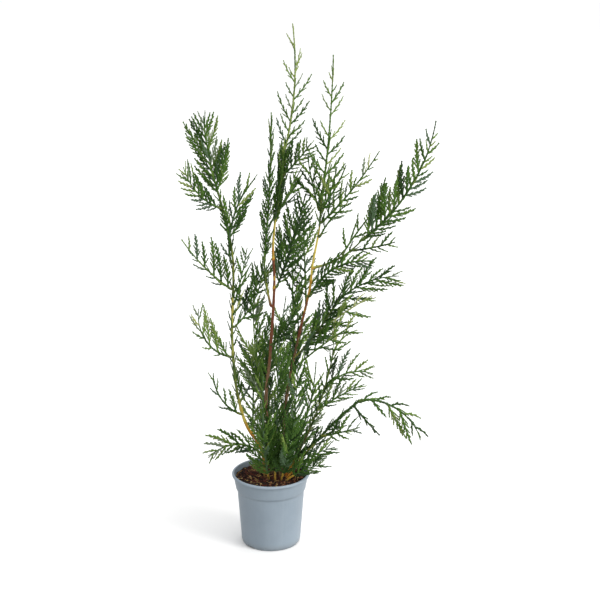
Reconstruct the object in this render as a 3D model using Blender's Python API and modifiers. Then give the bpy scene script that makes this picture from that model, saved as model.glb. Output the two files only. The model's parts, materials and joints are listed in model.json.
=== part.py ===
"""A young Leyland cypress in a round nursery pot.

Three stems and a few low shoots rise from one clump in the potting compost.  Each stem carries
side shoots, and each side shoot carries its own feathery mass of scale-leaved branchlets.

Lengths are in millimetres in the tables below and in metres in the scene.  +Z is up, +X is to the
right, +Y is to the back, and the origin is the middle of the pot's flat underside.
"""

import math
import random

import bmesh
import bpy
from mathutils import Matrix, Vector, noise
from mathutils.bvhtree import BVHTree

MM = 0.001
UP = Vector((0, 0, 1))
CLEAR = 0.3  # gap between neighbouring pieces

# Pot: a thin turned shell with a deep collar under a rolled lip.
POT_HEIGHT = 86.0
LIP_RADIUS = 45.0
LIP_HEIGHT = 3.6
COLLAR_TOP_RADIUS = 43.2
COLLAR_FOOT_RADIUS = 40.6
COLLAR_HEIGHT = 20.0
WALL_TOP_RADIUS = 38.9
WALL_FOOT_RADIUS = 34.2
FOOT_CHAMFER = 2.4
WALL = 1.1
POT_SEGMENTS = 36
DRAIN_SLOTS = 3
SLOT_SIZE = (15.0, 7.0, 4.4)
SLOT_TURN = 223.0  # compass of the first slot
DRAIN_HOLES = 5
HOLE_RADIUS = 3.2
HOLE_RING = 18.0

# Compost: fills the pot to just under the lip, level in the middle and crumbled round the edge.
SOIL_TOP = 82.0
SOIL_RINGS = (0.0, 13.0, 25.0, 34.0)
SOIL_GAP = 0.5
SOIL_LEVEL_RADIUS = 25.0
SOIL_EDGE_DROP = 3.5
SOIL_CRUMBLE = 1.6
SOIL_SEGMENTS = 20

# Stems: the places that each one passes through, in millimetres, and its radius at foot and tip.
STEMS = {
    "leader_stem": {
        "knees": [(2, 2), (-5, 2, 170), (0, 5, 230), (5, 8, 311), (4, 9, 362), (12, 9, 430), (16, 9, 462)],
        "radius": (2.3, 1.0),
        "flare": 1.2,
    },
    "right_stem": {
        "knees": [
            (11, -3), (16, -6, 155), (22, -8, 203), (35, -12, 268),
            (45, -14, 314), (48, -14, 342), (55, -16, 382), (57, -17, 412),
        ],
        "radius": (2.1, 1.0),
        "flare": 0.9,
    },
    "left_stem": {
        "knees": [
            (-6, -3), (-11, -4, 118), (-28, -6, 148), (-39, -4, 194), (-43, 0, 250),
            (-42, 4, 294), (-41, 6, 336), (-46, 8, 376), (-56, 8, 415),
        ],
        "radius": (2.0, 1.0),
        "flare": 0.8,
    },
}
FLARE_HEIGHT = 7.0

# Boughs and masses share one form.  Each grows from a share of the way up its parent (or from a
# place on the compost), towards a compass bearing (0 right, 90 back, 180 left, 270 front), and its
# rise above the level turns evenly from the first angle to the second along its length.
#          name: (parent, share or place, compass, rise, rise at tip, length)
BOUGHS = {
    "companion_bough": ("leader_stem", 0.54, 205, 76, 88, 56),
    "long_bough": ("right_stem", 0.78, 349, 15, 53, 66),
    "broad_bough": ("right_stem", 0.46, 347, 50, 62, 78),
    "rise_bough": ("ground", (17, -5), 337, 60, 79, 168),
    "droop_bough": ("ground", (19, -13), 338, 58, 44, 140),
}
BOUGH_RADIUS = (1.5, 0.8)

# Masses end with the length of their longest side branchlets.
MASSES = {
    "leader_tip": ("leader_stem", 1.0, 12, 75, 97, 146, 20),
    "leader_right": ("leader_stem", 0.94, 335, 43, 56, 52, 16),
    "leader_mid": ("leader_stem", 0.83, 313, 44, 76, 59, 18),
    "companion": ("companion_bough", 1.0, 359, 84, 90, 168, 7),
    "plume": ("leader_stem", 0.595, 20, 68, 76, 112, 20),
    "right_tip": ("right_stem", 1.0, 345, 82, 89, 167, 22),
    "right_dense": ("right_stem", 0.98, 148, 72, 80, 59, 18),
    "right_fork": ("right_stem", 0.995, 351, 53, 71, 54, 12),
    "right_mid": ("right_stem", 0.975, 305, 55, 73, 64, 20),
    "arm_upper": ("right_stem", 0.94, 348, 46, 60, 105, 18),
    "arm_lower": ("right_stem", 0.89, 329, 65, 32, 61, 12),
    "long_bough_tip": ("long_bough", 1.0, 356, 38, 82, 158, 26),
    "long_bough_upper": ("long_bough", 0.54, 19, 56, 45, 72, 22),
    "long_bough_lower": ("long_bough", 0.75, 327, 15, 23, 55, 18),
    "under_bough": ("right_stem", 0.68, 334, 68, 0, 95, 14),
    "broad_spray": ("broad_bough", 1.0, 349, 50, 4, 82, 24),
    "broad_spray_low": ("broad_bough", 0.5, 325, 42, 35, 90, 24),
    "broad_spray_foot": ("right_stem", 0.41, 324, 45, 35, 114, 22),
    "inner_right": ("right_stem", 0.46, 93, 70, 88, 108, 18),
    "left_tuft": ("left_stem", 1.0, 191, 74, 86, 93, 24),
    "left_tuft_low": ("left_stem", 0.96, 210, 24, 75, 72, 18),
    "left_fork": ("left_stem", 0.77, 352, 99, 49, 106, 17),
    "left_high": ("left_stem", 0.68, 197, 39, 58, 84, 20),
    "left_mid": ("left_stem", 0.45, 209, 17, 100, 82, 20),
    "left_low": ("left_stem", 0.25, 211, 29, 89, 69, 12),
    "inner_high": ("left_stem", 0.63, 309, 65, 76, 77, 16),
    "inner_mid": ("left_stem", 0.55, 28, 34, 93, 85, 22),
    "center_left": ("leader_stem", 0.20, 120, 64, 93, 137, 26),
    "center_low": ("left_stem", 0.17, 88, 50, 100, 92, 22),
    "basal_left": ("left_stem", 0.09, 202, 51, -45, 71, 18),
    "front_center": ("ground", (5, -17), 279, 75, 83, 189, 22),
    "front_right": ("ground", (12, -18), 294, 60, 87, 174, 22),
    "front_left": ("ground", (-2, -15), 262, 49, 102, 150, 20),
    "rise_tip": ("rise_bough", 1.0, 345, 76, 21, 44, 18),
    "rise_mid": ("rise_bough", 0.75, 334, 60, -9, 67, 18),
    "rise_low": ("rise_bough", 0.58, 2, 40, 21, 59, 16),
    "droop_spray": ("droop_bough", 1.0, 346, 16, -77, 91, 20),
    "low_right": ("droop_bough", 0.54, 318, 23, 27, 59, 19),
    "low_foot": ("ground", (21, 4), 6, 45, 12, 62, 21),
    "center_right": ("ground", (15, 9), 23, 58, 87, 137, 22),
    "back_base": ("ground", (3, 12), 97, 42, 72, 172, 26),
    "back_low_left": ("left_stem", 0.29, 64, 22, 46, 108, 24),
    "back_low_right": ("right_stem", 0.30, 78, 22, 54, 122, 26),
    "back_mid": ("leader_stem", 0.31, 76, 26, 56, 112, 26),
    "back_mid_left": ("left_stem", 0.60, 44, 30, 50, 108, 18),
    "back_mid_right": ("right_stem", 0.65, 92, 30, 60, 110, 22),
    "back_high": ("leader_stem", 0.65, 60, 24, 52, 92, 20),
    "low_skirt": ("ground", (18, -20), 338, 46, 14, 56, 20),
    "front_mid": ("leader_stem", 0.42, 301, 34, 70, 104, 22),
}
MASS_RADIUS = (1.15, 0.6)

# Branchlets: flat four-sided spindles, set left, right, before and behind along their stem.
PITCH = 6.6
SPARSE = {"leader_tip": 1.5, "right_tip": 1.35, "right_fork": 1.3, "droop_spray": 1.2}
BARE_TIP = 0.08
WIDTH_SHARE = 0.25  # width of a branchlet over its length
HALF_WIDTHS = (1.6, 3.8)
DEPTH_SHARE = 0.34  # thickness of a branchlet over its width
WIDEST_AT = 0.42  # share of a branchlet's length where it is widest
SUNK_SHARE = 0.7  # how far a root runs on past the middle of its stem, over the stem's radius
SWELL = 0.45  # how much bigger a branchlet is when it is tried for room
ANGLE_AT_ROOT, ANGLE_AT_TIP = 38, 24
TURNS = (0, 180, 90, 0, 180, 270)
CROSS_SHARE = 0.75  # length of the branchlets that stand out of the spray's own plane
LIFT = 0.3  # how much longer a branchlet is for facing straight up
STEEP = {  # narrower branching than the rule's, as a share of its angles
    "left_tuft": 0.80, "left_fork": 0.65, "left_low": 0.75, "companion": 0.55, "plume": 0.85,
    "leader_tip": 0.90, "front_center": 0.80, "front_right": 0.80, "front_left": 0.85,
    "center_left": 0.80, "center_right": 0.85, "front_mid": 0.80, "right_dense": 0.85,
}
LIFTS = {  # where the branchlets on the upper side, or below it on a drooping spray, are the longer ones
    "left_high": 0.7, "left_mid": 0.7, "left_low": 0.5, "long_bough_tip": 0.5, "droop_spray": -0.35,
    "basal_left": 0.1, "broad_spray": 0.1, "broad_spray_low": -0.2, "broad_spray_foot": 0.1,
    "under_bough": 0.0,
}
TAPER = {  # how much shorter a mass's last branchlets are
    "long_bough_tip": 0.7, "leader_tip": 0.5, "right_tip": 0.45,
    "arm_upper": 0.6, "left_fork": 0.4, "left_high": 0.3,
}
LEAN = {  # which way a mass's branchlets turn towards their tips, to the right and up
    "leader_tip": (0.0, 0.2), "right_tip": (0.0, 0.2), "long_bough_tip": (0.0, 0.3),
    "broad_spray": (0.5, 0.0), "broad_spray_low": (0.9, -0.1), "broad_spray_foot": (0.5, 0.1),
    "under_bough": (0.3, 0.0), "rise_tip": (0.4, 0.1), "rise_mid": (0.3, 0.2), "rise_low": (0.3, 0.2),
    "droop_spray": (0.1, -0.9), "basal_left": (-0.2, -0.3), "low_right": (0.4, 0.2),
    "left_high": (0.0, 0.6), "left_mid": (0.0, 0.6), "left_low": (0.0, 0.5),
    "left_tuft": (0.0, 0.3), "left_fork": (0.1, 0.4), "front_center": (0.0, 0.4),
    "front_right": (0.1, 0.4), "front_left": (-0.1, 0.4), "center_right": (0.1, 0.3), "front_mid": (0.0, 0.4),
}
SWEEP = 12  # degrees by which a branchlet starts wider than the rule's angle, and ends narrower
SWAY = 0.7  # how strongly a branchlet turns towards its stem's own direction

RED_BARK = Vector((0.30, 0.12, 0.055))
YOUNG_BARK = Vector((0.34, 0.24, 0.06))
DARK_LEAF = Vector((0.035, 0.105, 0.03))
BRIGHT_LEAF = Vector((0.09, 0.20, 0.05))


def clear_scene():
    for obj in list(bpy.data.objects):
        bpy.data.objects.remove(obj)


def link(obj):
    bpy.data.collections["leyland_cypress"].objects.link(obj)
    return obj


def material(name, color, roughness):
    made = bpy.data.materials.new(name)
    made.use_nodes = True
    shader = made.node_tree.nodes["Principled BSDF"]
    shader.inputs["Base Color"].default_value = (*color, 1)
    shader.inputs["Roughness"].default_value = roughness
    shader.inputs["Metallic"].default_value = 0
    return made


# ---------------------------------------------------------------- paths


def smooth_path(knees, steps=4):
    """Catmull-Rom points through the knees."""
    ends = [knees[0], *knees, knees[-1]]
    path = []
    for before, start, stop, after in zip(ends, ends[1:], ends[2:], ends[3:]):
        for step in range(steps):
            t = step / steps
            path.append(
                start
                + (stop - before) * (0.5 * t)
                + (2 * before - 5 * start + 4 * stop - after) * (0.5 * t**2)
                + (3 * start - before - 3 * stop + after) * (0.5 * t**3)
            )
    return [*path, knees[-1]]


def heading(compass, rise):
    compass, rise = math.radians(compass), math.radians(rise)
    return Vector((math.cos(rise) * math.cos(compass), math.cos(rise) * math.sin(compass), math.sin(rise)))


def arc_path(root, compass, rise, rise_at_tip, length, steps):
    """Points of a shoot whose rise turns evenly from root to tip."""
    path = [root]
    for step in range(steps):
        along = (step + 0.5) / steps
        path.append(path[-1] + heading(compass, rise + (rise_at_tip - rise) * along) * (length / steps))
    return path


def place_on(path, share):
    """The point at a share of the path's length, and the path's direction there."""
    lengths = [0.0]
    for start, stop in zip(path, path[1:]):
        lengths.append(lengths[-1] + (stop - start).length)
    target = share * lengths[-1]
    for index, (start, stop) in enumerate(zip(path, path[1:])):
        if target <= lengths[index + 1] or index == len(path) - 2:
            step = (target - lengths[index]) / (lengths[index + 1] - lengths[index])
            return start.lerp(stop, step), (stop - start).normalized()


class Limb:
    """A tapering stem or bough: its middle line and its radius along it."""

    def __init__(self, path, radius, flare=0.0):
        self.path = path
        self.radius = radius
        self.flare = flare

    def radius_at(self, share):
        foot, tip = self.radius
        length = sum((stop - start).length for start, stop in zip(self.path, self.path[1:]))
        return foot + (tip - foot) * share + self.flare * math.exp(-share * length / FLARE_HEIGHT)

    def root_beside(self, share, compass, rise, radius):
        """Where a shoot of that radius starts: just clear of this limb, on the side that it heads for."""
        point, direction = place_on(self.path, share)
        if share == 1.0:
            return point + direction * CLEAR
        outward = heading(compass, rise)
        outward = (outward - direction * outward.dot(direction)).normalized()
        return point + outward * (self.radius_at(share) + CLEAR + radius)


def shoot_path(entry, limbs, radius, steps):
    parent, share, compass, rise, rise_at_tip, length = entry[:6]
    if parent == "ground":
        root = Vector((*share, SOIL_TOP + CLEAR + radius))
    else:
        root = limbs[parent].root_beside(share, compass, rise, radius)
    return arc_path(root, compass, rise, rise_at_tip, length, steps)


# ---------------------------------------------------------------- pot and compost


def turned(name, profile, segments):
    """A solid of revolution.  The profile runs down its outer side, in millimetres."""
    mesh = bpy.data.meshes.new(name)
    points = [(radius * MM, 0, height * MM) for radius, height in profile]
    mesh.from_pydata(points, [(i, i + 1) for i in range(len(points) - 1)], [])
    obj = link(bpy.data.objects.new(name, mesh))
    screw = obj.modifiers.new("turn", "SCREW")
    screw.steps = screw.render_steps = segments
    screw.use_merge_vertices = True
    screw.merge_threshold = 0.00001
    screw.use_smooth_shade = True
    return obj


def as_mesh(obj):
    """Replaces the object by a plain mesh of what its modifiers or its curve make."""
    graph = bpy.context.evaluated_depsgraph_get()
    mesh = bpy.data.meshes.new_from_object(obj.evaluated_get(graph))
    made = bpy.data.objects.new(obj.name + "_mesh", mesh)
    made.matrix_world = obj.matrix_world
    name = obj.name
    bpy.data.objects.remove(obj)
    made.name = name
    return link(made)


def weld(mesh):
    """Closes the seams of a turned or swept mesh, and turns its faces outward."""
    work = bmesh.new()
    work.from_mesh(mesh)
    bmesh.ops.remove_doubles(work, verts=work.verts, dist=0.000001)
    bmesh.ops.recalc_face_normals(work, faces=work.faces)
    work.to_mesh(mesh)
    work.free()


def cutter(name, made):
    """Moves what an add operator has just made among the cutters, hidden from the render."""
    made.name = name
    made.hide_render = True
    made.display_type = "WIRE"
    for collection in made.users_collection:
        collection.objects.unlink(made)
    bpy.data.collections["pot_cutters"].objects.link(made)
    return made


def pot_inside():
    """The pot's inner face, from its mouth down to the middle of its floor, as radius and height."""
    collar_foot = POT_HEIGHT - COLLAR_HEIGHT
    return [
        (COLLAR_TOP_RADIUS - WALL, POT_HEIGHT),
        (COLLAR_TOP_RADIUS - WALL, POT_HEIGHT - LIP_HEIGHT),
        (COLLAR_FOOT_RADIUS - WALL, collar_foot + 1.0),
        (WALL_TOP_RADIUS - WALL, collar_foot - 1.4),
        (WALL_FOOT_RADIUS - WALL, FOOT_CHAMFER + 1.2),
        (WALL_FOOT_RADIUS - WALL - 2.0, WALL + 0.3),
        (0.0, WALL + 0.3),
    ]


def add_pot(plastic):
    collar_foot = POT_HEIGHT - COLLAR_HEIGHT
    outer = [
        (0.0, POT_HEIGHT),
        (LIP_RADIUS - 1.2, POT_HEIGHT),
        (LIP_RADIUS, POT_HEIGHT - 1.1),
        (LIP_RADIUS, POT_HEIGHT - LIP_HEIGHT + 0.6),
        (COLLAR_TOP_RADIUS, POT_HEIGHT - LIP_HEIGHT),
        (COLLAR_FOOT_RADIUS, collar_foot + 1.6),
        (WALL_TOP_RADIUS, collar_foot - 1.2),
        (WALL_FOOT_RADIUS, FOOT_CHAMFER),
        (WALL_FOOT_RADIUS - FOOT_CHAMFER, 0.0),
        (0.0, 0.0),
    ]
    profile = pot_inside()[::-1] + outer[1:]
    pot = turned("pot", profile, POT_SEGMENTS)
    pot.data.materials.append(plastic)
    cutters = bpy.data.collections.new("pot_cutters")
    bpy.context.scene.collection.children.link(cutters)
    for index in range(DRAIN_SLOTS):
        turn = math.radians(SLOT_TURN + 360 / DRAIN_SLOTS * index)
        reach = WALL_FOOT_RADIUS - 1.0
        bpy.ops.mesh.primitive_cube_add(
            size=1,
            location=(reach * MM * math.cos(turn), reach * MM * math.sin(turn), 0),
            rotation=(0, 0, turn + math.pi / 2),
            scale=[side * MM for side in SLOT_SIZE],
        )
        cutter(f"slot_cutter_{index}", bpy.context.object)
    for index in range(DRAIN_HOLES):
        turn = math.radians(360 / DRAIN_HOLES * index + 17)
        bpy.ops.mesh.primitive_cylinder_add(
            vertices=8,
            radius=HOLE_RADIUS * MM,
            depth=8 * MM,
            location=(HOLE_RING * MM * math.cos(turn), HOLE_RING * MM * math.sin(turn), 0),
        )
        cutter(f"hole_cutter_{index}", bpy.context.object)
    cut = pot.modifiers.new("drains", "BOOLEAN")
    cut.operation = "DIFFERENCE"
    cut.operand_type = "COLLECTION"
    cut.collection = cutters
    cut.solver = "EXACT"
    return pot


def add_compost(earth):
    """The filling, a little clear of the pot all round, with a crumbled edge to its top."""
    profile = [(radius, SOIL_TOP) for radius in SOIL_RINGS]
    profile.append((COLLAR_TOP_RADIUS - WALL - 2.2, SOIL_TOP - SOIL_EDGE_DROP))
    for radius, height in pot_inside()[2:]:
        profile.append((max(0.0, radius - SOIL_GAP), max(height, WALL + 0.3 + CLEAR)))
    compost = as_mesh(turned("compost", profile, SOIL_SEGMENTS))
    weld(compost.data)
    for vertex in compost.data.vertices:
        radius = math.hypot(vertex.co.x, vertex.co.y) / MM
        if vertex.co.z > (SOIL_TOP - 0.5) * MM and radius > SOIL_LEVEL_RADIUS + 1:
            lumps = noise.noise(vertex.co * 90)
            fall = (radius - SOIL_LEVEL_RADIUS) / (COLLAR_TOP_RADIUS - SOIL_LEVEL_RADIUS)
            vertex.co.z -= (SOIL_EDGE_DROP * fall * 0.5 - SOIL_CRUMBLE * lumps) * MM
    compost.data.materials.append(earth)
    return compost


# ---------------------------------------------------------------- limbs


def add_limb(name, limb, bark, resolution):
    """A tapering round limb, as a curve with filled ends that starts at the object's origin."""
    curve = bpy.data.curves.new(name, "CURVE")
    curve.dimensions = "3D"
    curve.bevel_depth = MM
    curve.bevel_resolution = resolution
    curve.use_fill_caps = True
    curve.materials.append(bark)
    spline = curve.splines.new("POLY")
    spline.points.add(len(limb.path) - 1)
    for index, (point, place) in enumerate(zip(spline.points, limb.path)):
        point.co = (*((place - limb.path[0]) * MM), 1)
        point.radius = limb.radius_at(index / (len(limb.path) - 1))
    obj = link(bpy.data.objects.new(name, curve))
    obj.location = limb.path[0] * MM
    return obj


def stem_limb(shape):
    """A stem's limb.  It rises straight out of the ground, so that its foot is cut level."""
    foot = Vector((*shape["knees"][0], SOIL_TOP + CLEAR))
    knees = [foot, foot + UP * 4, *(Vector(knee) for knee in shape["knees"][1:])]
    return Limb([foot, *smooth_path(knees[1:], 2)], shape["radius"], shape["flare"])


# ---------------------------------------------------------------- masses


class Space:
    """What has been placed so far, so that each mass keeps to its own space."""

    def __init__(self):
        self.trees = {}

    def claim(self, owner, tree):
        self.trees.setdefault(owner, []).append(tree)

    def claim_path(self, owner, path, radii):
        """Claims a tapering tube, with its clear gap."""
        points, faces = [], []
        for index, (point, radius) in enumerate(zip(path, radii)):
            direction = path[min(index + 1, len(path) - 1)] - path[max(index - 1, 0)]
            frame = frame_along(direction.normalized(), 0)
            for side in range(8):
                turn = math.tau * side / 8
                reach = (radius + CLEAR) * 1.08
                points.append(point + frame @ Vector((math.cos(turn), math.sin(turn), 0)) * reach)
        for index in range(len(path) - 1):
            for side in range(8):
                first, second = index * 8 + side, index * 8 + (side + 1) % 8
                faces.append((first, second, second + 8, first + 8))
        self.claim(owner, BVHTree.FromPolygons(points, faces))

    def is_free(self, owner, tree):
        """Whether a closed shape meets nothing that another owner has claimed."""
        others = [other for name, trees in self.trees.items() if name != owner for other in trees]
        return not any(tree.overlap(other) for other in others)


def frame_along(direction, turn):
    """Rotation whose Z is the direction and whose X is level before it is turned about that direction."""
    side = direction.cross(UP)
    if side.length < 0.05:
        side = Vector((1, 0, 0))
    side.normalize()
    side = Matrix.Rotation(math.radians(turn), 3, direction) @ side
    return Matrix((side, direction.cross(side), direction)).transposed()


def spindle(root, tip, half_width, frame, swell=0.0):
    """A flat eight-faced spindle between two points, widest nearer its root, in millimetres."""
    form = bmesh.new()
    bmesh.ops.create_uvsphere(form, u_segments=4, v_segments=2, radius=1)
    for vertex in form.verts:
        if abs(vertex.co.z) < 0.5:
            vertex.co.z = 2 * WIDEST_AT - 1
    half = Vector((half_width + swell, half_width * DEPTH_SHARE + swell, (tip - root).length / 2 + swell))
    form.transform(Matrix.Translation(root.lerp(tip, 0.5)) @ frame.to_4x4() @ Matrix.Diagonal(half).to_4x4())
    return form


def three_sided_stem(name, path, radii):
    """A mass's own stem, a three-sided tapering tube."""
    outline = bpy.data.curves.new(name + "_outline", "CURVE")
    triangle = outline.splines.new("POLY")
    triangle.points.add(2)
    triangle.use_cyclic_u = True
    for index, point in enumerate(triangle.points):
        turn = math.radians(90 - 120 * index)
        point.co = (math.cos(turn) * MM, math.sin(turn) * MM, 0, 1)
    guide = bpy.data.objects.new(name + "_outline", outline)
    curve = bpy.data.curves.new(name, "CURVE")
    curve.dimensions = "3D"
    curve.bevel_mode = "OBJECT"
    curve.bevel_object = guide
    curve.use_fill_caps = True
    spline = curve.splines.new("POLY")
    spline.points.add(len(path) - 1)
    for point, place, radius in zip(spline.points, path, radii):
        point.co = (*(place * MM), 1)
        point.radius = radius
    made = as_mesh(link(bpy.data.objects.new(name, curve)))
    weld(made.data)
    bpy.data.objects.remove(guide)
    return made


def reach_at(share, reach):
    """Length of the side branchlets at a share of the way up their stem."""
    return reach * min(1, 0.75 + 2 * share) * (1 - 0.62 * share**1.5)


def branchlets(name, path, radii, entry, pitch, rng):
    """Yields (root, tip, frame) of each side branchlet of a shoot, by the plant's one branching rule."""
    compass, length, reach = entry[2], entry[5], entry[6]
    right, up = LEAN.get(name, (0, 0.1))
    lean = Vector((right, 0, up))
    sideways = abs(math.cos(math.radians(compass))) > 0.7
    spin = rng.uniform(-25, 25) + (90 if sideways else 0)
    count = max(3, round(length * (1 - BARE_TIP) / pitch))
    for index in range(count):
        share = ((index + rng.uniform(0.45, 0.75)) / count) ** 1.2 * (1 - BARE_TIP)
        root, direction = place_on(path, share)
        side = TURNS[index % len(TURNS)]
        frame = frame_along(direction, side + spin + rng.uniform(-18, 18))
        angle = ANGLE_AT_ROOT + (ANGLE_AT_TIP - ANGLE_AT_ROOT) * share + rng.uniform(-5, 5)
        angle *= STEEP.get(name, 1)
        size = reach_at(share, reach) / math.sin(math.radians(angle)) * rng.uniform(0.85, 1.05)
        size *= (1 + LIFTS.get(name, LIFT) * frame.col[0].z) * (1 - TAPER.get(name, 0) * share**2)
        if side in (90, 270):
            size *= CROSS_SHARE
        size = min(size, (1 - share) * length * rng.uniform(0.75, 1.05) + reach * 0.3)
        wide = math.radians(angle + SWEEP)
        aim = frame @ Vector((math.sin(wide), 0, math.cos(wide)))
        aim = (aim + (aim + direction * SWAY + lean).normalized()).normalized()
        sunk = SUNK_SHARE * radii[int(share * (len(radii) - 1))]
        yield root - aim * sunk, root + aim * size, frame_along(aim, rng.uniform(-20, 20))


def grow(space, collection, name, root, tip, frame):
    """Adds one branchlet where there is room."""
    size = (tip - root).length
    half_width = min(HALF_WIDTHS[1], max(HALF_WIDTHS[0], size * WIDTH_SHARE / 2))
    swollen = spindle(root.lerp(tip, 2.2 / size), tip, half_width, frame, SWELL)
    free = space.is_free(name, BVHTree.FromBMesh(swollen))
    swollen.free()
    if not free:
        return
    form = spindle(root, tip, half_width, frame)
    space.claim(name, BVHTree.FromBMesh(form))
    form.transform(Matrix.Diagonal((MM, MM, MM, 1)))
    mesh = bpy.data.meshes.new("branchlet")
    form.to_mesh(mesh)
    form.free()
    collection.objects.link(bpy.data.objects.new("branchlet", mesh))


def keep_main_body(mesh):
    """Drops any scrap or sealed hollow that the union leaves beside its main body."""
    work = bmesh.new()
    work.from_mesh(mesh)
    bodies = []
    waiting = set(work.faces)
    while waiting:
        body = []
        reached = [waiting.pop()]
        while reached:
            face = reached.pop()
            body.append(face)
            beside = {other for edge in face.edges for other in edge.link_faces} & waiting
            waiting -= beside
            reached.extend(beside)
        bodies.append(body)
    bodies.sort(key=len)
    for body in bodies[:-1]:
        bmesh.ops.delete(work, geom=body, context="FACES")
    work.to_mesh(mesh)
    work.free()


def join(name, stem, collection):
    """One Boolean union of the stem with every branchlet, applied, and the branchlets removed."""
    union = stem.modifiers.new("union", "BOOLEAN")
    union.operation = "UNION"
    union.operand_type = "COLLECTION"
    union.collection = collection
    union.solver = "MANIFOLD"
    made = as_mesh(stem)
    keep_main_body(made.data)
    for obj in list(collection.objects):
        bpy.data.objects.remove(obj)
    made.name = name
    return made


def mass_radii(count):
    foot, tip = MASS_RADIUS
    return [foot + (tip - foot) * index / (count - 1) for index in range(count)]


def add_mass(name, entry, path, space):
    """A mass of foliage: its stem and its branchlets, as one solid with its origin at its root."""
    collection = bpy.data.collections.new(name + "_branchlets")
    bpy.context.scene.collection.children.link(collection)
    radii = mass_radii(len(path))
    rng = random.Random(name)
    for root, tip, frame in branchlets(name, path, radii, entry, PITCH * SPARSE.get(name, 1), rng):
        grow(space, collection, name, root, tip, frame)
    made = join(name, three_sided_stem(name, path, radii), collection)
    bpy.data.collections.remove(collection)
    made.data.transform(Matrix.Translation(path[0] * -MM))
    made.location = path[0] * MM
    green = DARK_LEAF.lerp(BRIGHT_LEAF, rng.random())
    made.data.materials.clear()
    made.data.materials.append(material(name + "_leaf", green, 0.55))


def main():
    clear_scene()
    bpy.context.scene.collection.children.link(bpy.data.collections.new("leyland_cypress"))
    add_pot(material("pot_plastic", (0.36, 0.45, 0.53), 0.42))
    add_compost(material("compost_earth", (0.045, 0.024, 0.015), 0.95))
    space = Space()
    limbs = {name: stem_limb(shape) for name, shape in STEMS.items()}
    for name, entry in BOUGHS.items():
        limbs[name] = Limb(shoot_path(entry, limbs, BOUGH_RADIUS[0], 8), BOUGH_RADIUS)
    for name, limb in limbs.items():
        bark = material(name + "_bark", RED_BARK if name in STEMS else YOUNG_BARK, 0.7)
        add_limb(name, limb, bark, 2 if name in STEMS else 1)
        space.claim_path(name, limb.path, [limb.radius_at(i / len(limb.path)) for i in range(len(limb.path))])
    paths = {name: shoot_path(entry, limbs, MASS_RADIUS[0], 5) for name, entry in MASSES.items()}
    for name, path in paths.items():
        space.claim_path(name, path, mass_radii(len(path)))
    for name, entry in MASSES.items():
        add_mass(name, entry, paths[name], space)


main()
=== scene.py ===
"""Looks of a young Leyland cypress in a round nursery pot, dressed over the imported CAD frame.

The plant's tables and its branching rule are those of the part's source.  Here the rule is carried
on to fine scale-leaved twigs.  Tables are in millimetres, the scene is in metres, +Z is up, and the
bearings of a compass are 0 right, 90 back, 180 left and 270 front.
"""

import json
import math
import random
from collections import defaultdict

import bmesh
import bpy
import numpy as np
from mathutils import Matrix, Vector, noise
from mathutils.bvhtree import BVHTree

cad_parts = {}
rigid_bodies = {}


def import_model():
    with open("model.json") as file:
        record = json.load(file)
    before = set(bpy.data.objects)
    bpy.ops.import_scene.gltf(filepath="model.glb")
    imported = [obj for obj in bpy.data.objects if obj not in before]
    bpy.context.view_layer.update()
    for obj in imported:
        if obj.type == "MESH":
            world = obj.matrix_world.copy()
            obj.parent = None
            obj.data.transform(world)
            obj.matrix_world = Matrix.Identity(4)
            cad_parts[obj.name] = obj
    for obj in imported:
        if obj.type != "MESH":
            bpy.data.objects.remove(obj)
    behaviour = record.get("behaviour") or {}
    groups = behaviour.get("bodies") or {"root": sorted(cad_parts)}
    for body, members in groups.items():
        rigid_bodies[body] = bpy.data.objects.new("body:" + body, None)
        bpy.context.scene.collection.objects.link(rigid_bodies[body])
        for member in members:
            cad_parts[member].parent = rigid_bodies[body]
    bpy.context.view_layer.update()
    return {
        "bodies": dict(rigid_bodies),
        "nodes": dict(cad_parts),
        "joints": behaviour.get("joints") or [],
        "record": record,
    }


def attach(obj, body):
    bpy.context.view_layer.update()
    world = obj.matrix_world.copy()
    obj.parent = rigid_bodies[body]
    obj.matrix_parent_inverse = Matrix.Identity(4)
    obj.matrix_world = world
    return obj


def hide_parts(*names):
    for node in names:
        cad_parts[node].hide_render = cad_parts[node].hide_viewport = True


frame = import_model()

MM = 0.001
UP = Vector((0, 0, 1))
CLEAR = 0.3

# ---- the plant's tables

POT_HEIGHT = 86.0
LIP_RADIUS = 45.0
LIP_HEIGHT = 3.6
COLLAR_TOP_RADIUS = 43.2
COLLAR_FOOT_RADIUS = 40.6
COLLAR_HEIGHT = 20.0
WALL_TOP_RADIUS = 38.9
WALL_FOOT_RADIUS = 34.2
FOOT_CHAMFER = 2.4
WALL = 1.1
DRAIN_SLOTS = 3
SLOT_SIZE = (15.0, 7.0, 4.4)
SLOT_TURN = 223.0
DRAIN_HOLES = 5
HOLE_RADIUS = 3.2
HOLE_RING = 18.0
HOLE_TURN = 17
SOIL_TOP = 82.0

STEMS = {
    "leader_stem": {
        "knees": [(2, 2), (-5, 2, 170), (0, 5, 230), (5, 8, 311), (4, 9, 362), (12, 9, 430), (16, 9, 462)],
        "radius": (2.3, 1.0),
        "flare": 1.2,
    },
    "right_stem": {
        "knees": [
            (11, -3), (16, -6, 155), (22, -8, 203), (35, -12, 268),
            (45, -14, 314), (48, -14, 342), (55, -16, 382), (57, -17, 412),
        ],
        "radius": (2.1, 1.0),
        "flare": 0.9,
    },
    "left_stem": {
        "knees": [
            (-6, -3), (-11, -4, 118), (-28, -6, 148), (-39, -4, 194), (-43, 0, 250),
            (-42, 4, 294), (-41, 6, 336), (-46, 8, 376), (-56, 8, 415),
        ],
        "radius": (2.0, 1.0),
        "flare": 0.8,
    },
}
FLARE_HEIGHT = 7.0

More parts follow.
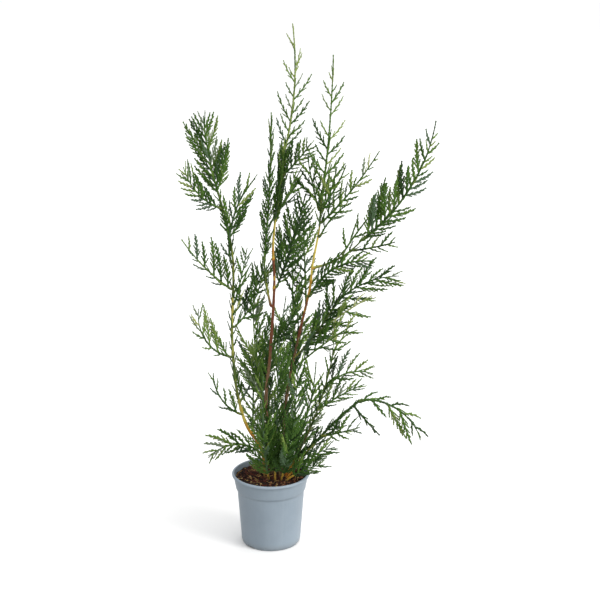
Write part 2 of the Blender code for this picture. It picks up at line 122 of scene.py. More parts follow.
BOUGHS = {  # parent, place on it, compass, rise, rise at the tip, length
    "companion_bough": ("leader_stem", 0.54, 205, 76, 88, 56),
    "long_bough": ("right_stem", 0.78, 349, 15, 53, 66),
    "broad_bough": ("right_stem", 0.46, 347, 50, 62, 78),
    "rise_bough": ("ground", (17, -5), 337, 60, 79, 168),
    "droop_bough": ("ground", (19, -13), 338, 58, 44, 140),
}
BOUGH_RADIUS = (1.5, 0.8)

# Each mass by the piece that it joins: parent, place on it, compass, rise, rise at the tip, length
# and reach, as in the source.  Two more are for here: how many branchlets it has over the usual
# number, and how far its tints move towards the pale ones.
MASSES = {
    "leader_foliage": {
        "leader_tip": ("leader_stem", 1.0, 12, 75, 97, 146, 20, 1.25, 0.1),
        "leader_right": ("leader_stem", 0.94, 335, 43, 56, 52, 16, 1.6, -0.3),
        "leader_mid": ("leader_stem", 0.83, 313, 44, 76, 59, 18, 1.6, -0.4),
        "companion": ("companion_bough", 1.0, 359, 84, 90, 168, 7, 1.7, -0.2),
        "plume": ("leader_stem", 0.595, 20, 68, 76, 112, 20, 1.5, -0.5),
        "center_left": ("leader_stem", 0.2, 120, 64, 93, 137, 26, 1.2, 0.7),
        "back_mid": ("leader_stem", 0.31, 76, 26, 56, 112, 26, 0.6, 0.2),
        "back_high": ("leader_stem", 0.65, 60, 24, 52, 92, 20, 0.8, 0),
        "front_mid": ("leader_stem", 0.42, 301, 34, 70, 104, 22, 2.0, 0),
    },
    "right_foliage": {
        "right_tip": ("right_stem", 1.0, 345, 82, 89, 167, 22, 1.15, 0.2),
        "right_dense": ("right_stem", 0.98, 148, 72, 80, 59, 18, 0.85, -0.1),
        "right_fork": ("right_stem", 0.995, 351, 53, 71, 54, 12, 0.8, 0),
        "right_mid": ("right_stem", 0.975, 305, 55, 73, 64, 20, 0.75, 0.1),
        "arm_upper": ("right_stem", 0.94, 348, 46, 60, 105, 18, 1.1, 0.3),
        "arm_lower": ("right_stem", 0.89, 329, 65, 32, 61, 12, 0.4, 0.4),
        "under_bough": ("right_stem", 0.68, 334, 68, 0, 95, 14, 1.9, -0.2),
        "inner_right": ("right_stem", 0.46, 93, 70, 88, 108, 18, 0.95, -0.2),
        "back_low_right": ("right_stem", 0.3, 78, 22, 54, 122, 26, 1, 0.2),
        "back_mid_right": ("right_stem", 0.65, 92, 30, 60, 110, 22, 1.0, 0),
    },
    "long_bough_foliage": {
        "long_bough_tip": ("long_bough", 1.0, 356, 38, 82, 158, 26, 1.45, 0),
        "long_bough_upper": ("long_bough", 0.54, 19, 56, 45, 72, 22, 0.5, 0.1),
        "long_bough_lower": ("long_bough", 0.75, 327, 15, 23, 55, 18, 1, 0),
        "broad_spray": ("broad_bough", 1.0, 349, 50, 4, 82, 24, 1.0, 0),
        "broad_spray_low": ("broad_bough", 0.5, 325, 42, 35, 90, 24, 0.45, 1.0),
        "broad_spray_foot": ("right_stem", 0.41, 324, 45, 35, 114, 22, 0.65, 0.3),
    },
    "left_foliage": {
        "left_tuft": ("left_stem", 1.0, 191, 74, 86, 93, 24, 1.6, -0.1),
        "left_tuft_low": ("left_stem", 0.96, 210, 24, 75, 72, 18, 1.6, 0),
        "left_fork": ("left_stem", 0.77, 352, 99, 49, 106, 17, 1.25, 0),
        "left_high": ("left_stem", 0.68, 197, 39, 58, 84, 20, 0.85, 0.5),
        "left_mid": ("left_stem", 0.45, 209, 17, 100, 82, 20, 0.75, 0.8),
        "left_low": ("left_stem", 0.25, 211, 29, 89, 69, 12, 0.6, 0.4),
        "inner_high": ("left_stem", 0.63, 309, 65, 76, 77, 16, 1, 0),
        "inner_mid": ("left_stem", 0.55, 28, 34, 93, 85, 22, 0.75, 0.1),
        "center_low": ("left_stem", 0.17, 88, 50, 100, 92, 22, 0.9, 1.5),
        "basal_left": ("left_stem", 0.09, 202, 51, -45, 71, 18, 1.4, 1.4),
        "back_low_left": ("left_stem", 0.29, 64, 22, 46, 108, 24, 0.5, 0.7),
        "back_mid_left": ("left_stem", 0.6, 44, 30, 50, 108, 18, 0.65, 0),
    },
    "low_foliage": {
        "front_center": ("ground", (5, -17), 279, 75, 83, 189, 22, 1.7, 0.4),
        "front_right": ("ground", (12, -18), 294, 60, 87, 174, 22, 1.6, 0.4),
        "front_left": ("ground", (-2, -15), 262, 49, 102, 150, 20, 1.3, 1.0),
        "rise_tip": ("rise_bough", 1.0, 345, 76, 21, 44, 18, 0.4, 1.2),
        "rise_mid": ("rise_bough", 0.75, 334, 60, -9, 67, 18, 1.1, 0.9),
        "rise_low": ("rise_bough", 0.58, 2, 40, 21, 59, 16, 1.3, 0.5),
        "droop_spray": ("droop_bough", 1.0, 346, 16, -77, 91, 20, 0.8, 0.7),
        "low_right": ("droop_bough", 0.54, 318, 23, 27, 59, 19, 0.95, 1.0),
        "low_foot": ("ground", (21, 4), 6, 45, 12, 62, 21, 1.6, 0.6),
        "center_right": ("ground", (15, 9), 23, 58, 87, 137, 22, 1.35, 0.8),
        "back_base": ("ground", (3, 12), 97, 42, 72, 172, 26, 1.2, 0.6),
        "low_skirt": ("ground", (18, -20), 338, 46, 14, 56, 20, 1.7, 0.3),
    },
}
MASS_RADIUS = (1.15, 0.6)
STEM_STEPS, BOUGH_STEPS, MASS_STEPS = 8, 24, 16  # points along a path, between knees or in all
SPARSE = {"leader_tip": 1.5, "right_tip": 1.35, "right_fork": 1.3, "droop_spray": 1.2}
BARE_TIP = 0.08
ANGLE_AT_ROOT, ANGLE_AT_TIP = 38, 24
TURNS = (0, 180, 90, 0, 180, 270)
CROSS_SHARE = 0.75
LIFT = 0.3
STEEP = {  # narrower branching than the rule's, as a share of its angles
    "left_tuft": 0.80, "left_fork": 0.65, "left_low": 0.75, "companion": 0.55, "plume": 0.85,
    "leader_tip": 0.90, "front_center": 0.80, "front_right": 0.80, "front_left": 0.85,
    "center_left": 0.80, "center_right": 0.85, "front_mid": 0.80, "right_dense": 0.85,
}
LIFTS = {  # where the branchlets on the upper side, or below it on a drooping spray, are the longer ones
    "left_high": 0.7, "left_mid": 0.7, "left_low": 0.5, "long_bough_tip": 0.5, "droop_spray": -0.35,
    "basal_left": 0.1, "broad_spray": 0.1, "broad_spray_low": -0.2, "broad_spray_foot": 0.1,
    "under_bough": 0.0,
}
TAPER = {  # how much shorter a mass's last branchlets are
    "long_bough_tip": 0.7, "leader_tip": 0.5, "right_tip": 0.45,
    "arm_upper": 0.6, "left_fork": 0.4, "left_high": 0.3,
}
LEAN = {  # which way a mass's branchlets turn towards their tips, to the right and up
    "leader_tip": (0.0, 0.2), "right_tip": (0.0, 0.2), "long_bough_tip": (0.0, 0.3),
    "broad_spray": (0.5, 0.0), "broad_spray_low": (0.9, -0.1), "broad_spray_foot": (0.5, 0.1),
    "under_bough": (0.3, 0.0), "rise_tip": (0.4, 0.1), "rise_mid": (0.3, 0.2), "rise_low": (0.3, 0.2),
    "droop_spray": (0.1, -0.9), "basal_left": (-0.2, -0.3), "low_right": (0.4, 0.2),
    "left_high": (0.0, 0.6), "left_mid": (0.0, 0.6), "left_low": (0.0, 0.5),
    "left_tuft": (0.0, 0.3), "left_fork": (0.1, 0.4), "front_center": (0.0, 0.4),
    "front_right": (0.1, 0.4), "front_left": (-0.1, 0.4), "center_right": (0.1, 0.3), "front_mid": (0.0, 0.4),
}
SWEEP = 12  # degrees by which a branchlet starts wider than the rule's angle, and ends narrower
SWAY = 0.7  # how strongly a branchlet turns towards its stem's own direction

# Fine growth
PITCH = 3.7  # between branchlets on a mass's stem
TWIG_PITCH = 2.6  # between twigs on a branchlet
TWIG_SHARE = 0.25  # length of the longest twigs over their branchlet's
AXIS_SCALE, BRANCHLET_SCALE, TWIG_SCALE = 3.3, 2.6, 2.4  # lengths of a pair of scale leaves
STOUT = {"droop_spray": 1.2, "basal_left": 1.1, "long_bough_tip": 1.1, "under_bough": 1.2}  # thickness
OPEN = {"left_tuft": 0.3, "left_fork": 0.45}  # how many branchlets are missing at the tip


# ---- paths, as in the source


def smooth_path(knees, steps):
    """A curve through every knee."""
    ends = [knees[0], *knees, knees[-1]]
    path = []
    for before, start, stop, after in zip(ends, ends[1:], ends[2:], ends[3:]):
        for step in range(steps):
            t = step / steps
            path.append(
                start
                + (stop - before) * (0.5 * t)
                + (2 * before - 5 * start + 4 * stop - after) * (0.5 * t**2)
                + (3 * start - before - 3 * stop + after) * (0.5 * t**3)
            )
    return [*path, knees[-1]]


def heading(compass, rise):
    """The direction with this bearing and this many degrees above level."""
    compass, rise = math.radians(compass), math.radians(rise)
    return Vector((math.cos(rise) * math.cos(compass), math.cos(rise) * math.sin(compass), math.sin(rise)))


def arc_path(root, compass, rise, rise_at_tip, length, steps):
    """A path that bends evenly from one rise to another."""
    path = [root]
    for step in range(steps):
        along = (step + 0.5) / steps
        path.append(path[-1] + heading(compass, rise + (rise_at_tip - rise) * along) * (length / steps))
    return path


def place_on(path, share):
    """The point at a share of the path's length, and the path's direction there."""
    lengths = [0.0]
    for start, stop in zip(path, path[1:]):
        lengths.append(lengths[-1] + (stop - start).length)
    target = share * lengths[-1]
    for index, (start, stop) in enumerate(zip(path, path[1:])):
        if target <= lengths[index + 1] or index == len(path) - 2:
            step = (target - lengths[index]) / (lengths[index + 1] - lengths[index])
            return start.lerp(stop, step), (stop - start).normalized()


class Limb:
    """A tapering stem or bough: its middle line and its radius along it."""

    def __init__(self, path, radius, flare=0.0):
        self.path = path
        self.radius = radius
        self.flare = flare
        self.length = sum((stop - start).length for start, stop in zip(path, path[1:]))

    def radius_at(self, share):
        foot, tip = self.radius
        return foot + (tip - foot) * share + self.flare * math.exp(-share * self.length / FLARE_HEIGHT)

    def root_beside(self, share, compass, rise, radius):
        """Where a shoot of this radius starts, just clear of the limb."""
        point, direction = place_on(self.path, share)
        if share == 1.0:
            return point + direction * CLEAR
        outward = heading(compass, rise)
        outward = (outward - direction * outward.dot(direction)).normalized()
        return point + outward * (self.radius_at(share) + CLEAR + radius)


def shoot_path(entry, limbs, radius, steps):
    parent, share, compass, rise, rise_at_tip, length = entry[:6]
    if parent == "ground":
        root = Vector((*share, SOIL_TOP + CLEAR + radius))
    else:
        root = limbs[parent].root_beside(share, compass, rise, radius)
    return arc_path(root, compass, rise, rise_at_tip, length, steps)


def stem_limb(shape):
    foot = Vector((*shape["knees"][0], SOIL_TOP + CLEAR))
    knees = [foot, foot + UP * 4, *(Vector(knee) for knee in shape["knees"][1:])]
    return Limb([foot, *smooth_path(knees[1:], STEM_STEPS)], shape["radius"], shape["flare"])


def frame_along(direction, turn):
    """Axes with the third one along the direction, turned round it by degrees."""
    side = direction.cross(UP)
    if side.length < 0.05:
        side = Vector((1, 0, 0))
    side.normalize()
    side = Matrix.Rotation(math.radians(turn), 3, direction) @ side
    return Matrix((side, direction.cross(side), direction)).transposed()


def reach_at(share, reach):
    """How far branchlets reach out at a share of their stem."""
    return reach * min(1, 0.75 + 2 * share) * (1 - 0.62 * share**1.5)


# ---- materials


def srgb(red, green, blue):
    """Linear colour of an sRGB one given from 0 to 255."""
    return tuple(
        ((level / 255 + 0.055) / 1.055) ** 2.4 if level > 10 else level / 255 / 12.92
        for level in (red, green, blue)
    )


class Nodes:
    """A short way to lay out a material's nodes."""

    def __init__(self, name):
        self.material = bpy.data.materials.new(name)
        self.material.use_nodes = True
        self.tree = self.material.node_tree
        self.shader = self.tree.nodes["Principled BSDF"]

    def add(self, kind, **sockets):
        node = self.tree.nodes.new(kind)
        for name, value in sockets.items():
            self.set(node, name, value)
        return node

    def set(self, node, socket, value):
        if isinstance(value, bpy.types.NodeSocket):
            self.tree.links.new(value, node.inputs[socket])
        else:
            node.inputs[socket].default_value = value

    def noise(self, scale, detail=4.0, rough=0.55, stretch=(1, 1, 1)):
        where = self.add("ShaderNodeTexCoord").outputs["Object"]
        place = self.add("ShaderNodeMapping", Vector=where, Scale=stretch).outputs["Vector"]
        node = self.add("ShaderNodeTexNoise", Vector=place, Scale=scale, Detail=detail, Roughness=rough)
        return node.outputs["Fac"]

    def ramp(self, value, stops):
        node = self.add("ShaderNodeValToRGB", Fac=value)
        ramp = node.color_ramp.elements
        while len(ramp) < len(stops):
            ramp.new(1.0)
        for element, (place, color) in zip(ramp, stops):
            element.position = place
            element.color = (*color, 1)
        return node.outputs["Color"]

    def grey(self, value, stops):
        return self.ramp(value, [(place, (level,) * 3) for place, level in stops])

    def mix(self, share, first, second, blend="MIX"):
        """The second colour over the first.  The sockets are numbered, as three kinds share one name."""
        node = self.tree.nodes.new("ShaderNodeMix")
        node.data_type = "RGBA"
        node.blend_type = blend
        self.set(node, 0, share)
        for socket, value in ((6, first), (7, second)):
            self.set(node, socket, value if isinstance(value, bpy.types.NodeSocket) else (*value, 1))
        return node.outputs[2]

    def math(self, operation, first, second):
        node = self.tree.nodes.new("ShaderNodeMath")
        node.operation = operation
        self.set(node, 0, first)
        self.set(node, 1, second)
        return node.outputs[0]

    def height(self, low, high):
        """From 0 to 1 between two heights, in millimetres."""
        where = self.add("ShaderNodeTexCoord")
        split = self.add("ShaderNodeSeparateXYZ", Vector=where.outputs["Object"])
        node = self.add("ShaderNodeMapRange", Value=split.outputs["Z"])
        node.inputs["From Min"].default_value = low * MM
        node.inputs["From Max"].default_value = high * MM
        return node.outputs["Result"]

    def bump(self, height, strength, distance):
        node = self.add("ShaderNodeBump", Height=height, Strength=strength, Distance=distance)
        self.set(self.shader, "Normal", node.outputs["Normal"])

    def finish(self, color, roughness, specular):
        for socket, value in (("Base Color", color), ("Roughness", roughness)):
            if isinstance(value, tuple):
                value = (*value, 1)
            self.set(self.shader, socket, value)
        self.shader.inputs["Specular IOR Level"].default_value = specular
        return self.material


def pot_material():
    """Moulded blue-grey polypropylene: even, a little cloudy, lightly scuffed, with dust at its foot."""
    nodes = Nodes("moulded_plastic")
    cloud = nodes.noise(28, 3)
    color = nodes.ramp(cloud, [(0.3, srgb(147, 161, 174)), (0.7, srgb(156, 170, 183))])
    flow = nodes.noise(160, 2, stretch=(1, 1, 0.05))
    color = nodes.mix(nodes.grey(flow, [(0.5, 0.0), (0.75, 0.16)]), color, srgb(174, 187, 196))
    scuff = nodes.noise(900, 5, 0.7, stretch=(1, 1, 0.35))
    color = nodes.mix(nodes.grey(scuff, [(0.62, 0.0), (0.72, 0.35)]), color, srgb(190, 200, 206))
    foot = nodes.grey(nodes.height(0, 9), [(0.0, 0.55), (1.0, 0.0)])
    grime = nodes.math("MULTIPLY", foot, nodes.noise(220, 5, 0.65))
    color = nodes.mix(grime, color, srgb(112, 104, 92))
    roughness = nodes.grey(nodes.noise(320, 4), [(0.3, 0.40), (0.75, 0.54)])
    grain = nodes.math("MULTIPLY", nodes.noise(2600, 2), 0.5)
    grain = nodes.math("ADD", grain, nodes.noise(160, 2, stretch=(1, 1, 0.05)))
    nodes.bump(grain, 0.22, 0.0004)
    return nodes.finish(color, roughness, 0.42)


def soil_material(name, dark, light, scale):
    """Anything in the compost: matt, rough, and mottled between two colours."""
    nodes = Nodes(name)
    color = nodes.ramp(nodes.noise(scale, 5, 0.65), [(0.32, dark), (0.7, light)])
    nodes.bump(nodes.noise(scale * 2.5, 5, 0.7), 0.7, 0.0008)
    return nodes.finish(color, 0.92, 0.25)


def bark_material(name, stops, low, high):
    """Thin young bark whose colour changes up the limb, streaked along it, with paler old scale bases."""
    nodes = Nodes(name)
    level = nodes.height(low, high)
    waver = nodes.math("MULTIPLY", nodes.math("SUBTRACT", nodes.noise(95, 3), 0.5), 0.22)
    place = nodes.math("ADD", level, waver)
    span = high - low
    color = nodes.ramp(place, [((z - low) / span, srgb(*color)) for z, color in stops])
    streak = nodes.noise(900, 4, 0.6, stretch=(1, 1, 0.12))
    streaked = nodes.grey(streak, [(0.42, 0.0), (0.66, 0.5)])
    color = nodes.mix(streaked, color, nodes.mix(1.0, color, (0.42, 0.34, 0.28), "MULTIPLY"))
    fleck = nodes.noise(420, 3, 0.6, stretch=(1, 1, 0.5))
    color = nodes.mix(nodes.grey(fleck, [(0.6, 0.0), (0.7, 0.45)]), color, srgb(206, 180, 110))
    nodes.bump(streak, 0.5, 0.0003)
    return nodes.finish(color, nodes.grey(fleck, [(0.3, 0.52), (0.7, 0.7)]), 0.35)


def leaf_material(name, color):
    """One plain green, a little waxy."""
    return Nodes(name).finish(srgb(*color), 0.5, 0.16)


# ---- meshes


def finished(obj, node, smooth=True):
    """Sets a piece on the body in place of its CAD nodes."""
    if smooth:
        obj.data.shade_smooth()
    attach(obj, "root")
    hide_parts(*([node] if isinstance(node, str) else node))
    return obj


def linked(name, data):
    """A new object in the scene."""
    obj = bpy.data.objects.new(name, data)
    bpy.context.scene.collection.objects.link(obj)
    return obj


def object_of(form, name):
    """An object made of a bmesh, which is freed."""
    mesh = bpy.data.meshes.new(name)
    form.to_mesh(mesh)
    form.free()
    return linked(name, mesh)


def mesh_object(name, points, faces, materials, indices):
    """An object from arrays.

    Its points are in millimetres.  Faces, and their materials' indices, come as one array for each
    number of corners.
    """
    mesh = bpy.data.meshes.new(name)
    mesh.vertices.add(len(points))
    mesh.vertices.foreach_set("co", (np.asarray(points, np.float32) * MM).ravel())
    corners = np.concatenate([np.asarray(group).ravel() for group in faces])
    sizes = np.concatenate([np.full(len(group), np.asarray(group).shape[1]) for group in faces])
    mesh.loops.add(len(corners))
    mesh.loops.foreach_set("vertex_index", corners.astype(np.int32))
    mesh.polygons.add(len(sizes))
    mesh.polygons.foreach_set("loop_start", np.concatenate([[0], np.cumsum(sizes)[:-1]]).astype(np.int32))
    for material in materials:
        mesh.materials.append(material)
    mesh.polygons.foreach_set("material_index", np.concatenate(indices).astype(np.int32))
    mesh.update(calc_edges=True)
    mesh.validate()
    return linked(name, mesh)


def turned(name, profile, segments):
    """A solid of revolution.  The profile runs down its outer side, in millimetres."""
    mesh = bpy.data.meshes.new(name)
    points = [(radius * MM, 0, height * MM) for radius, height in profile]
    mesh.from_pydata(points, [(i, i + 1) for i in range(len(points) - 1)], [])
    obj = linked(name, mesh)
    screw = obj.modifiers.new("turn", "SCREW")
    screw.steps = screw.render_steps = segments
    screw.use_merge_vertices = True
    screw.merge_threshold = 0.000005
    apply_modifiers(obj)
    return obj


def apply_modifiers(obj):
    """The object's mesh becomes what its modifiers make of it."""
    graph = bpy.context.evaluated_depsgraph_get()
    mesh = bpy.data.meshes.new_from_object(obj.evaluated_get(graph))
    obj.modifiers.clear()
    obj.data = mesh


def rounded(corners, radius, steps):
    """A profile with each inner corner turned through a small arc."""
    profile = [corners[0]]
    for before, corner, after in zip(corners, corners[1:], corners[2:]):
        corner = Vector(corner)
        back, on = Vector(before) - corner, Vector(after) - corner
        cut = min(radius, back.length * 0.45, on.length * 0.45)
        start, stop = corner + back.normalized() * cut, corner + on.normalized() * cut
        for step in range(steps + 1):
            t = step / steps
            profile.append(tuple(start * (1 - t) ** 2 + corner * (2 * t * (1 - t)) + stop * t**2))
    return [*profile, corners[-1]]


# ---- pot


EDGE_ROUNDING = 0.8
SHARPEST_SMOOTH = 38  # degrees above which an edge of the pot shows as one


def drain_cutter():
    """Rounded blocks for the slots in the pot's foot, and rods for the ring of holes."""
    form = bmesh.new()
    reach = WALL_FOOT_RADIUS - 1.0
    for index in range(DRAIN_SLOTS):
        turn = math.radians(SLOT_TURN + 360 / DRAIN_SLOTS * index)
        place = Matrix.Translation((reach * MM * math.cos(turn), reach * MM * math.sin(turn), 0))
        facing = Matrix.Rotation(turn + math.pi / 2, 4, "Z")
        shape = Matrix.Diagonal((*(size * MM for size in SLOT_SIZE), 1))
        made = bmesh.ops.create_cube(form, size=1, matrix=place @ facing @ shape)
        edges = list(dict.fromkeys(edge for vert in made["verts"] for edge in vert.link_edges))
        bmesh.ops.bevel(form, geom=edges, offset=0.7 * MM, segments=2, affect="EDGES")
    for index in range(DRAIN_HOLES):
        turn = math.radians(360 / DRAIN_HOLES * index + HOLE_TURN)
        place = Matrix.Translation((HOLE_RING * MM * math.cos(turn), HOLE_RING * MM * math.sin(turn), 0))
        radius = HOLE_RADIUS * MM
        bmesh.ops.create_cone(
            form, cap_ends=True, segments=32, radius1=radius, radius2=radius, depth=0.008, matrix=place
        )
    return object_of(form, "drain_cutter")


def make_pot():
    collar_foot = POT_HEIGHT - COLLAR_HEIGHT
    outer = [
        (COLLAR_TOP_RADIUS - WALL, POT_HEIGHT - LIP_HEIGHT),
        (COLLAR_TOP_RADIUS - WALL + 0.2, POT_HEIGHT - 0.2),
        (LIP_RADIUS - 1.6, POT_HEIGHT),
        (LIP_RADIUS, POT_HEIGHT - 0.9),
        (LIP_RADIUS, POT_HEIGHT - LIP_HEIGHT + 0.5),
        (COLLAR_TOP_RADIUS, POT_HEIGHT - LIP_HEIGHT - 0.2),
        (COLLAR_FOOT_RADIUS, collar_foot + 1.6),
        (WALL_TOP_RADIUS, collar_foot - 1.2),
        (WALL_FOOT_RADIUS + 0.1, FOOT_CHAMFER + 2.0),
        (WALL_FOOT_RADIUS - 1.0, 0.5),
        (WALL_FOOT_RADIUS - 3.2, 0.0),
        (WALL_FOOT_RADIUS - 6.5, 0.0),
        (WALL_FOOT_RADIUS - 7.5, 0.7),
        (9.0, 0.7),
        (8.0, 0.0),
        (0.0, 0.0),
    ]
    inner = [
        (0.0, WALL + 0.3),
        (WALL_FOOT_RADIUS - WALL - 2.0, WALL + 0.3),
        (WALL_FOOT_RADIUS - WALL, FOOT_CHAMFER + 1.2),
        (WALL_TOP_RADIUS - WALL, collar_foot - 1.4),
        (COLLAR_FOOT_RADIUS - WALL, collar_foot + 1.0),
    ]
    pot = turned("nursery_pot", rounded([*inner, *outer], EDGE_ROUNDING, 4), 128)
    cutter = drain_cutter()
    drains = pot.modifiers.new("drains", "BOOLEAN")
    drains.object = cutter
    drains.solver = "EXACT"
    apply_modifiers(pot)
    bpy.data.objects.remove(cutter)
    pot.data.materials.append(pot_material())
    finished(pot, "pot")
    pot.data.set_sharp_from_angle(angle=math.radians(SHARPEST_SMOOTH))


# ---- compost


def soil_height(x, y):
    """Height of the compost's surface, in millimetres: nearly level, lumpy, and lower at its edge."""
    place = Vector((x, y, 0)) * 0.09
    lumps = noise.noise(place) * 1.5 + noise.noise(place * 2.7) * 0.9 + noise.noise(place * 7.3) * 0.5
    edge = max(0.0, math.hypot(x, y) - 27) / 14
    return SOIL_TOP + 0.9 + lumps - 3.2 * edge**1.4


def make_compost():
    collar_foot = POT_HEIGHT - COLLAR_HEIGHT
    top = [(41.4 * step / 54, SOIL_TOP) for step in range(55)]
    wall = [
        (COLLAR_FOOT_RADIUS - WALL - 0.4, collar_foot + 1.2),
        (WALL_TOP_RADIUS - WALL - 0.4, collar_foot - 1.6),
        (WALL_FOOT_RADIUS - WALL - 0.4, FOOT_CHAMFER + 1.6),
        (WALL_FOOT_RADIUS - WALL - 2.4, WALL + 0.7),
        (0.0, WALL + 0.7),
    ]
    compost = turned("potting_compost", [*top, *wall], 150)
    noise.seed_set(1)  # noise_vector takes its seed from the clock until one is set
    for vertex in compost.data.vertices:
        if vertex.co.z > (SOIL_TOP - 0.01) * MM:
            vertex.co.z = soil_height(vertex.co.x / MM, vertex.co.y / MM) * MM
            grain = noise.noise_vector(vertex.co * 700) * 0.00035
            vertex.co += grain
    compost.data.materials.append(soil_material("compost", srgb(20, 12, 9), srgb(54, 33, 24), 500))
    finished(compost, "compost")
    rng = random.Random("crumbs")
    make_crumbs(rng)
    make_fibres(rng)


CRUMBS = (  # name, darker and lighter colour, share of all crumbs
    ("crumb_dark", (20, 12, 10), (44, 28, 22), 0.52),
    ("crumb_red", (58, 26, 18), (98, 48, 32), 0.33),
    ("crumb_tan", (92, 60, 40), (140, 100, 66), 0.10),
    ("crumb_straw", (150, 122, 76), (196, 168, 112), 0.05),
)
CRUMB_COUNT, FIBRE_COUNT = 1500, 46


def spot_within(rng, farthest):
    radius, turn = farthest * math.sqrt(rng.random()), rng.uniform(0, math.tau)
    return radius, radius * math.cos(turn), radius * math.sin(turn)


def make_crumbs(rng):
    """Bits of bark and peat on the compost, some of them long chips."""
    materials = [soil_material(name, srgb(*dark), srgb(*light), 900) for name, dark, light, _ in CRUMBS]
    chips = bmesh.new()
    for _ in range(CRUMB_COUNT):
        radius, x, y = spot_within(rng, 40.6)
        kind = rng.choices(range(len(CRUMBS)), [crumb[3] for crumb in CRUMBS])[0]
        size = rng.uniform(0.35, 1.5) * (1.25 if rng.random() < 0.1 else 1)
        long = rng.uniform(1.6, 3.4) if kind and rng.random() < 0.6 else rng.uniform(1.0, 1.5)
        if radius + size * long > 41:
            continue
        made = bmesh.ops.create_icosphere(chips, subdivisions=1, radius=1)["verts"]
        for vert in made:
            vert.co *= 1 + 0.32 * noise.noise(vert.co * 1.7 + Vector((x, y, size)))
        facing = Matrix.Rotation(rng.uniform(0, math.tau), 4, "Z")
        facing = facing @ Matrix.Rotation(rng.uniform(-0.5, 0.5), 4, "Y")
        shape = Matrix.Diagonal((size * long, size, size * rng.uniform(0.45, 0.8), 1))
        at = Matrix.Translation((x, y, soil_height(x, y) + size * 0.12))
        bmesh.ops.transform(chips, matrix=Matrix.Scale(MM, 4) @ at @ facing @ shape, verts=made)
        for face in {face for vert in made for face in vert.link_faces}:
            face.material_index = kind
    crumbs = object_of(chips, "compost_crumbs")
    for material in materials:
        crumbs.data.materials.append(material)
    finished(crumbs, "compost", smooth=False)


def make_fibres(rng):
    """Straw-like strands that arch over the crumbs."""
    fibres = Tubes()
    for _ in range(FIBRE_COUNT):
        _, x, y = spot_within(rng, 36)
        way, bend, length = rng.uniform(0, math.tau), rng.uniform(-1.4, 1.4), rng.uniform(5, 13)
        path = []
        for step in range(9):
            t = step / 8
            angle = way + bend * t
            spot = Vector((x + math.cos(angle) * length * t, y + math.sin(angle) * length * t, 0))
            if spot.length > 40:
                break
            spot.z = soil_height(spot.x, spot.y) + 0.35 + 0.9 * math.sin(math.pi * t) * rng.uniform(0.2, 1)
            path.append(spot)
        if len(path) > 3:
            fibres.add(path, [rng.uniform(0.16, 0.34)] * len(path), 5)
    straw = soil_material("fibre", srgb(150, 112, 66), srgb(214, 180, 112), 700)
    finished(fibres.made("compost_fibres", [straw]), "compost")


# ---- limbs


class Tubes:
    """Round tubes along paths, gathered into one mesh."""

    def __init__(self):
        self.points, self.quads, self.fans, self.tints, self.fan_tints = [], [], [], [], []

    def add(self, path, radii, sides, tint=0, relief=None):
        base = len(self.points)
        side = None
        for index, (point, radius) in enumerate(zip(path, radii)):
            direction = (path[min(index + 1, len(path) - 1)] - path[max(index - 1, 0)]).normalized()
            if side is None:
                side = frame_along(direction, 0).col[0]
            side = (side - direction * side.dot(direction)).normalized()
            up = direction.cross(side)
            for step in range(sides):
                turn = math.tau * step / sides
                out = side * math.cos(turn) + up * math.sin(turn)
                reach = radius + (relief(index, turn, point) if relief else 0)
                self.points.append(point + out * reach)
        for index in range(len(path) - 1):
            for step in range(sides):
                first, second = base + index * sides + step, base + index * sides + (step + 1) % sides
                self.quads.append((first, second, second + sides, first + sides))
                self.tints.append(tint)
        self.points.append(path[-1] + (path[-1] - path[-2]).normalized() * radii[-1] * 0.6)
        top = base + (len(path) - 1) * sides
        for step in range(sides):
            self.fans.append((top + step, top + (step + 1) % sides, len(self.points) - 1))
            self.fan_tints.append(tint)

    def made(self, name, materials):
        faces, tints = [self.quads, self.fans], [self.tints, self.fan_tints]
        return mesh_object(name, self.points, faces, materials, tints)


def evenly(path, spacing):
    """The same line as points a set distance apart."""
    length = sum((stop - start).length for start, stop in zip(path, path[1:]))
    count = max(4, round(length / spacing))
    return [place_on(path, index / count)[0] for index in range(count + 1)]


RING_STEP = 0.9  # between the rings of a limb's mesh
BARK_SINK = 0.05  # by which the bark starts below the solid's surface, before its relief
SCALE_BASE = 8.5  # between the pairs of worn scale leaves on a limb
RIDGE, LUMP = 0.16, 0.14  # heights of the bark's ridges and lumps
JOINT_DROP = 2.5  # how far below a bough's foot it leaves its stem
COLLAR_STEPS = (1, 3, 6, 10)  # rings of a bough that its swollen foot runs up to


